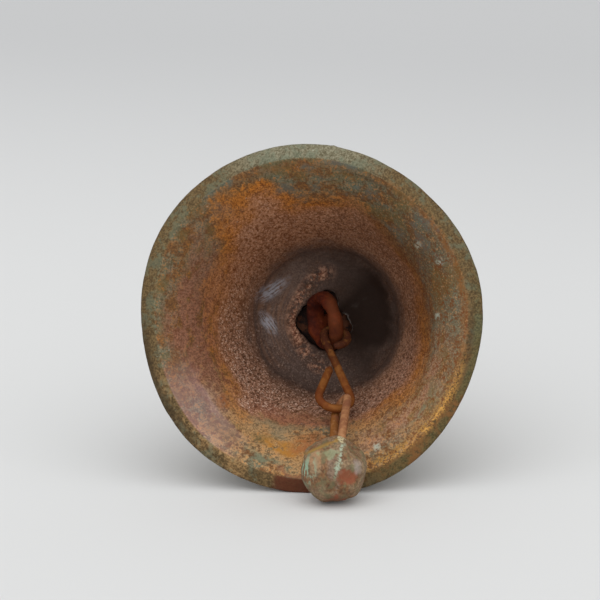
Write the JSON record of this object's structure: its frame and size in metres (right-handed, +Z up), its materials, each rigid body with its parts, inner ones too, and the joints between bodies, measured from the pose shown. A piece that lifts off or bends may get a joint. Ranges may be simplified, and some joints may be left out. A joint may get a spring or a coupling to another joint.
{
  "type": "hand bell",
  "caption": "Bronze hand bell lying on its side: flared mouth, ragged crown hole, iron eye, wire hook, doubled-wire clapper with a bronze ball drawn out over the lip, turned handle.",
  "frame": {"origin": "on the floor, under the middle of the bounding box", "axes": "+Z up, +Y from the mouth towards the handle, +X to the right as seen from the mouth"},
  "size_m": [0.0898, 0.1826, 0.0874],
  "materials": {
    "bell_bronze": "cast bronze under dry verdigris, with dark brown and orange stains inside",
    "handle_bronze": "turned bronze, brown patina worn golden where it is held",
    "ball_bronze": "cast bronze, matt grey-green and pinkish brown, with copper-red worn patches",
    "forged_iron": "forged iron, rough with red-brown rust",
    "iron_wire": "iron wire, rough with orange-brown rust"
  },
  "bodies": {
    "bell": {"bell_body": "bell_bronze", "tang": "forged_iron", "crown_plate": "forged_iron", "handle": "handle_bronze", "end_washer": "forged_iron"},
    "hook": {"clapper_hook": "iron_wire"},
    "clapper": {"clapper_eye": "iron_wire", "clapper_ball": "ball_bronze"}
  },
  "joints": [
    {"name": "hook_swing", "type": "hinge", "parent": "bell", "child": "hook", "pos_m": [0, -0.01628, 0.03226], "axis": [-0.8637, -0.4993, -0.0696], "range_deg": [0, 65]},
    {"name": "clapper_swing", "type": "hinge", "parent": "hook", "child": "clapper", "pos_m": [0.00437, -0.04327, 0.01725], "axis": [-0.1918, 0.4532, -0.8705], "range_deg": [-2, 40]}
  ]
}
